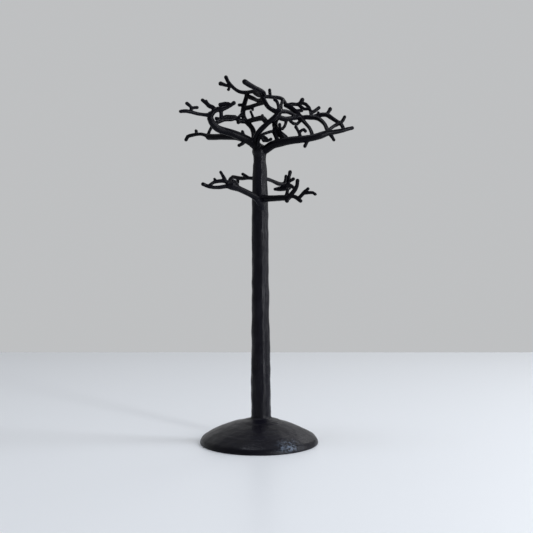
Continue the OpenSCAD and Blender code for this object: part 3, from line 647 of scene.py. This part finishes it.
# %% Tooling group
tooling, ti, to = open_group(
    "hand tooling",
    "GeometryNodeTree",
    [("Geometry", "Geometry", None), ("Dent depth", "Float", 0.2 * MM), ("Dents per metre", "Float", 90.0),
     ("Facet depth", "Float", 0.2 * MM), ("Facets per metre", "Float", 160.0),
     ("Ripple depth", "Float", 0.1 * MM), ("Seed", "Float", 3.0), ("Finish", "Material", None)],
    [("Geometry", "Geometry", None)],
)
where = add_node(tooling, "GeometryNodeInputPosition").outputs[0]
outwards = add_node(tooling, "GeometryNodeInputNormal").outputs[0]
coil_way = add_node(tooling, "GeometryNodeInputNamedAttribute", {"Name": "grain"}, data_type="FLOAT_VECTOR")
luted = add_node(tooling, "GeometryNodeInputNamedAttribute", {"Name": "lute"}, data_type="FLOAT")
resting = add_node(tooling, "GeometryNodeInputNamedAttribute", {"Name": "still"}, data_type="FLOAT")

dent = add_node(tooling, "ShaderNodeTexNoise", {"Vector": where, "W": ti["Seed"], "Detail": 1.0,
                                                "Scale": ti["Dents per metre"]}, noise_dimensions="4D")
dents = calc(tooling, "MULTIPLY", calc(tooling, "SUBTRACT", dent.outputs[0], 0.5), ti["Dent depth"])

long_way = vector_calc(tooling, "MULTIPLY", coil_way.outputs[0], (0.35, 1.0, 1.0))
facet = add_node(tooling, "ShaderNodeTexVoronoi", {"Vector": long_way, "W": ti["Seed"],
                                                   "Scale": ti["Facets per metre"], "Smoothness": 0.35},
                 voronoi_dimensions="4D", feature="SMOOTH_F1")
facet_height = calc(tooling, "SUBTRACT", facet.outputs["Distance"], 0.45)
facets = calc(tooling, "MULTIPLY", facet_height, ti["Facet depth"])

pull_way = vector_calc(tooling, "MULTIPLY", coil_way.outputs[0], (0.12, 1.0, 1.0))
pull = add_node(tooling, "ShaderNodeTexNoise", {"Vector": pull_way, "W": ti["Seed"], "Scale": 420.0,
                                                "Detail": 1.0}, noise_dimensions="4D")
ripples = calc(tooling, "MULTIPLY", calc(tooling, "SUBTRACT", pull.outputs[0], 0.5), ti["Ripple depth"])

free = calc(tooling, "SUBTRACT", 1.0, luted.outputs[0])
move = calc(tooling, "ADD", dents, calc(tooling, "MULTIPLY", calc(tooling, "ADD", facets, ripples), free))
move = calc(tooling, "MULTIPLY", move, calc(tooling, "SUBTRACT", 1.0, resting.outputs[0]))
offset = vector_calc(tooling, "SCALE", outwards, move)
shifted = add_node(tooling, "GeometryNodeSetPosition", {"Geometry": ti["Geometry"], "Offset": offset})
real = add_node(tooling, "GeometryNodeRealizeInstances", {0: shifted.outputs[0]})
painted = add_node(tooling, "GeometryNodeSetMaterial", {0: real.outputs[0], "Material": ti["Finish"]})
tooling.links.new(painted.outputs[0], to[0])

# %% Tool the skin
def mesh_from(name, places, triples, floats=None, vectors=None):
    """A mesh with named values on its points."""
    mesh = bpy.data.meshes.new(name)
    mesh.from_pydata(places.tolist(), [], triples.tolist())
    for label, values in (floats or {}).items():
        mesh.attributes.new(label, "FLOAT", "POINT").data.foreach_set("value", values.astype(np.float32))
    for label, values in (vectors or {}).items():
        data = mesh.attributes.new(label, "FLOAT_VECTOR", "POINT").data
        data.foreach_set("vector", values.astype(np.float32).ravel())
    mesh.update()
    return mesh


# The ground face, and the seat of the felt just above it, stay true. Thin twigs are only tooled lightly.
still = np.maximum(1 - ramp(points[:, 2], 0.6 * MM, 3 * MM), 0.4 * twig_share)
skin_mesh = mesh_from("skin", points, triangles, {"lute": lute_mask, "still": still}, {"grain": skin_grain})
skin = bpy.data.objects.new("skin", skin_mesh)
bpy.context.scene.collection.objects.link(skin)
tooled = run_group(skin, tooling, {"Dent depth": 1.3 * MM, "Dents per metre": 75.0, "Facet depth": 0.7 * MM,
                                   "Facets per metre": 170.0, "Ripple depth": 0.6 * MM, "Seed": 3.0,
                                   "Finish": clay})
before = points
points = points_of(tooled)
bpy.data.objects.remove(skin)
print(f"tool marks up to {np.abs(points - before).max() / MM:.2f} mm deep")

# %% [markdown]
# ## Ridges, creases and a painted highlight
# Hands rub the ridges and dust stays in the creases. How far a point stands out from the mean of its
# neighbours says which is which, once that height has been spread a little.

# %% Measure ridges and creases
normals = point_normals(points)
stands_out = bulge(points, 6)
ridge_mask = ramp(stands_out, 60, 220)
crease_mask = ramp(-stands_out, 15, 110)
# A pale bluish painted highlight on the foot's shoulder stands for the window's reflection there. The spot
# is long and lies along the rim.
HIGHLIGHT_TURN = 31
turn = np.degrees(np.arctan2(points[:, 0], -points[:, 1]))
painted_highlight_mask = ramp(np.abs(turn - HIGHLIGHT_TURN), 17, 3) * ramp(from_axis, 36 * MM, 41 * MM)
painted_highlight_mask = painted_highlight_mask * ramp(points[:, 2], 0.8 * MM, 2.5 * MM) * ramp(points[:, 2], 10 * MM, 5 * MM)
print(f"ridges on {(ridge_mask > 0.5).mean():.0%} of the skin, creases on {(crease_mask > 0.5).mean():.0%}")

# %% [markdown]
# ## Cut the skin back into pieces
# Corners of triangles that meet round the same point within one piece share a new point of their own.
# Where a piece ends, the open edge is a ring. Each ring is closed with a fan of triangles to a middle
# point that is drawn a little into the piece, so two neighbours never lie face to face.

# %% Cut the pieces
CAP_DEPTH = 0.2 * MM
whole = piece_of[np.arange(count) // 3] == piece_of[mate // 3]
kept = np.flatnonzero(whole)
turns = np.concatenate([np.stack([kept, following[mate[kept]]], 1),
                        np.stack([following[kept], mate[kept]], 1)])
_, first, new_point = np.unique(settle(turns, count), return_index=True, return_inverse=True)
old_point = start[first]
new_triangles = new_point.reshape(-1, 3)

open_sides = np.flatnonzero(~whole)
ring_start, ring_end = new_point[open_sides], new_point[following[open_sides]]
ring_of = settle(np.stack([ring_start, ring_end], 1), len(old_point))[ring_start]
ring_ids, ring_number = np.unique(ring_of, return_inverse=True)
ring_size = np.bincount(ring_number).astype(float)
inner = points[triangles].mean(1)[open_sides // 3]


def ring_mean(values):
    """The mean of rows of values round each ring."""
    return np.stack([np.bincount(ring_number, column) for column in values.T], 1) / ring_size[:, None]


middle = ring_mean(points[old_point[ring_start]])
inwards = ring_mean(inner) - middle
inwards /= np.maximum(np.linalg.norm(inwards, axis=1, keepdims=True), 1e-9)
middle = middle + inwards * CAP_DEPTH
caps = np.stack([ring_end, ring_start, len(old_point) + ring_number], 1)
cap_piece = piece_of[open_sides // 3]

all_places = np.concatenate([points[old_point], middle])
all_normals = np.concatenate([normals[old_point], -inwards])
all_triangles = np.concatenate([new_triangles, caps])
all_pieces = np.concatenate([piece_of, cap_piece])
# One of these masks is a painted highlight: the window's reflection on the foot's shoulder.
masks = {"ridge": ridge_mask, "crease": crease_mask, "lute": lute_mask, "painted_highlight": painted_highlight_mask,
         "twig": twig_share}
all_masks = {label: np.concatenate([values[old_point], np.zeros(len(middle))])
             for label, values in masks.items()}
print(f"{len(ring_ids)} rings closed")

# %% Make the clay pieces
burnished_names = round_names | {"trunk", "crown_knuckle"}
made = {}
for number, name in enumerate(clay_names):
    mine = all_triangles[all_pieces == number]
    if len(mine) < CRUMB:
        continue
    used, mine = np.unique(mine, return_inverse=True)
    places = all_places[used]
    mesh = mesh_from(name + "_clay", places, mine.reshape(-1, 3),
                     {label: values[used] for label, values in all_masks.items()},
                     {"grain": grain_of(name, places)})
    # Limbs and twigs take the less shiny copy, which is painted shade for the crown.
    mesh.materials.append(clay if name in burnished_names else shaded_twig_clay)
    mesh.polygons.foreach_set("use_smooth", np.ones(len(mesh.polygons), bool))
    mesh.normals_split_custom_set_from_vertices(all_normals[used].tolist())
    piece = bpy.data.objects.new(name + "_clay", mesh)
    bpy.context.scene.collection.objects.link(piece)
    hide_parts(name)
    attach(piece, "root")
    made[name] = piece
largest = max(made, key=lambda name: len(made[name].data.polygons))
most = len(made[largest].data.polygons)
print(f"{len(made)} clay pieces; the largest is {largest} with {most} triangles")

# %% [markdown]
# ## The hidden parts keep their true shape
# The rod, nut, washer, pegs and felt are exact in the frame already, and nothing about them is soft. They
# only take their finish.

# %% Finish the rest
for name, obj in nodes.items():
    if name not in made:
        obj.data.materials.clear()
        obj.data.materials.append(finishes[slot_of[name]])
print("kept from the frame:", ", ".join(sorted(set(nodes) - set(made))))

# %% [markdown]
# ## Floor and studio light
# Black satin shows its shape only by what it mirrors, so the lights are soft panels. A window on the right
# and a strip in front of it light the right half of the trunk. A high panel picks out the edge of the foot,
# and two weaker ones model the crown from above and behind. The room itself is pale behind the tree and
# dimmer towards the viewer, so the clay that faces forwards stays deep.

# %% Floor
FLOOR_COLOUR = (0.80, 0.82, 0.84, 1)

floor_material, tree, shader = new_material("pale floor")
shader.inputs["Base Color"].default_value = FLOOR_COLOUR
shader.inputs["Roughness"].default_value = 0.35
floor_mesh = bpy.data.meshes.new("floor")
SIDE, FRONT, BACK = 5.0, -5.0, 0.68
corners = [(-SIDE, FRONT, 0), (SIDE, FRONT, 0), (SIDE, BACK, 0), (-SIDE, BACK, 0)]
floor_mesh.from_pydata(corners, [], [(0, 1, 2, 3)])
floor_mesh.materials.append(floor_material)
floor = bpy.data.objects.new("floor", floor_mesh)
bpy.context.scene.collection.objects.link(floor)
floor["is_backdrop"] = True

# %% Lights
def soft_light(name, place, aim, width, height, watts, colour=(1, 1, 1)):
    """A soft panel that faces its aim. Sizes are in metres."""
    lamp = bpy.data.lights.new(name, "AREA")
    lamp.shape = "RECTANGLE"
    lamp.size, lamp.size_y = width, height
    lamp.energy = watts
    lamp.color = colour
    obj = bpy.data.objects.new(name, lamp)
    obj.location = place
    obj.rotation_euler = (Vector(aim) - Vector(place)).to_track_quat("-Z", "Y").to_euler()
    bpy.context.scene.collection.objects.link(obj)
    obj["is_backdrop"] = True


AIM = (0, 0, 0.15)
soft_light("window", (1.2, -0.02, 0.5), AIM, 0.5, 0.8, 6, (0.96, 0.97, 1.0))
soft_light("strip", (0.85, -0.92, 0.35), AIM, 0.16, 0.7, 8, (0.94, 0.96, 1.0))
soft_light("high", (1.0, -0.1, 1.05), (0.03, -0.03, 0.01), 0.3, 0.3, 4.5, (0.85, 0.90, 1.0))
soft_light("top", (-0.2, -0.1, 1.4), AIM, 0.35, 0.35, 4, (0.85, 0.89, 1.0))
soft_light("back", (0.9, 1.3, 1.2), AIM, 0.6, 0.6, 3)

# %% Room
ROOM_COLOUR = (0.945, 0.96, 0.975, 1)
DIM, PALE = 0.3, 0.55

world = bpy.data.worlds.new("studio")
bpy.context.scene.world = world
world.use_nodes = True
room = world.node_tree
direction = add_node(room, "ShaderNodeTexCoord").outputs["Generated"]
way_back = add_node(room, "ShaderNodeSeparateXYZ", {0: direction}).outputs["Y"]
glow = add_node(room, "ShaderNodeMapRange", {"Value": way_back, "From Min": -0.4, "From Max": 0.7,
                                             "To Min": DIM, "To Max": PALE})
room.nodes["Background"].inputs["Color"].default_value = ROOM_COLOUR
room.links.new(glow.outputs[0], room.nodes["Background"].inputs["Strength"])
print("five soft lights and a pale room")

# %% [markdown]
# ## Compare the boxes
# The finished pieces must not outgrow the frame, so both boxes are written down side by side.

# %% Write the sizes and finish
low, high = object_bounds()
growth = [round((finished - plain) / MM, 2) for finished, plain in zip(high, cad_high)]
print("box grows by", growth, "mm at its far corner")
